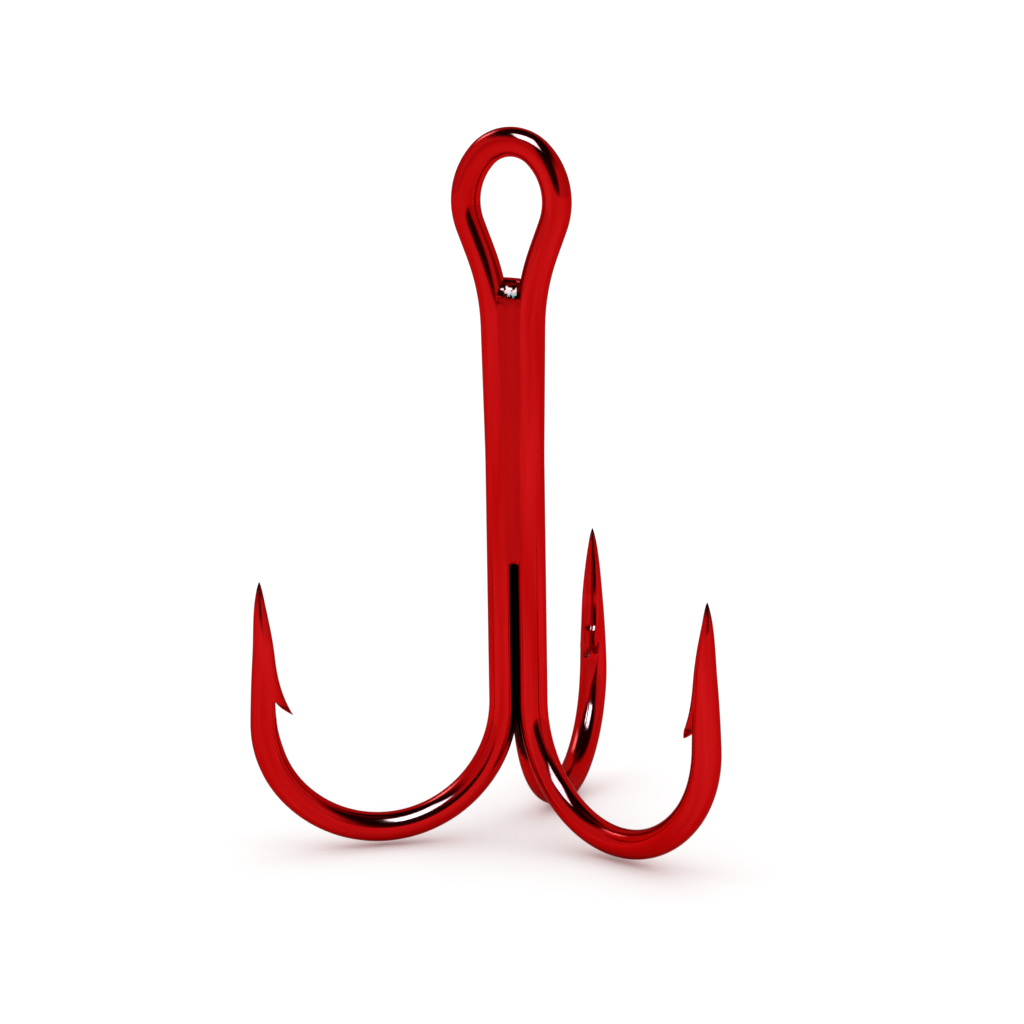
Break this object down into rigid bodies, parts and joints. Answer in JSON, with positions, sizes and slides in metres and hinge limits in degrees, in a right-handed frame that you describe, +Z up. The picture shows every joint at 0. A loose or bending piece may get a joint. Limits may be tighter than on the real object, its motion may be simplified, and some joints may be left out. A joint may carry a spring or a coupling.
{
  "type": "treble hook",
  "caption": "Round-bend fishing hook with a teardrop eye at the top and barbed points set evenly around one brazed shank, lacquered red.",
  "frame": {"origin": "centre of the top arc of the eye, where a split ring or the line bears", "axes": "+Z up along the shank; the eye lies in the X-Z plane, so a ring passes through it along Y; the single hook's point stands at +Y and the double hook's points stand at -X and +X, a little towards -Y"},
  "size_m": [0.0246, 0.0215, 0.0364],
  "materials": {
    "red_lacquered_wire": "gloss",
    "red_lacquered_braze": "gloss"
  },
  "bodies": {
    "root": {"double_hook_wire": "red_lacquered_wire", "single_hook_wire": "red_lacquered_wire", "front_braze_seam": "red_lacquered_braze", "left_braze_seam": "red_lacquered_braze", "right_braze_seam": "red_lacquered_braze", "core_braze_fill": "red_lacquered_braze", "crotch_braze_bead": "red_lacquered_braze"}
  },
  "joints": []
}
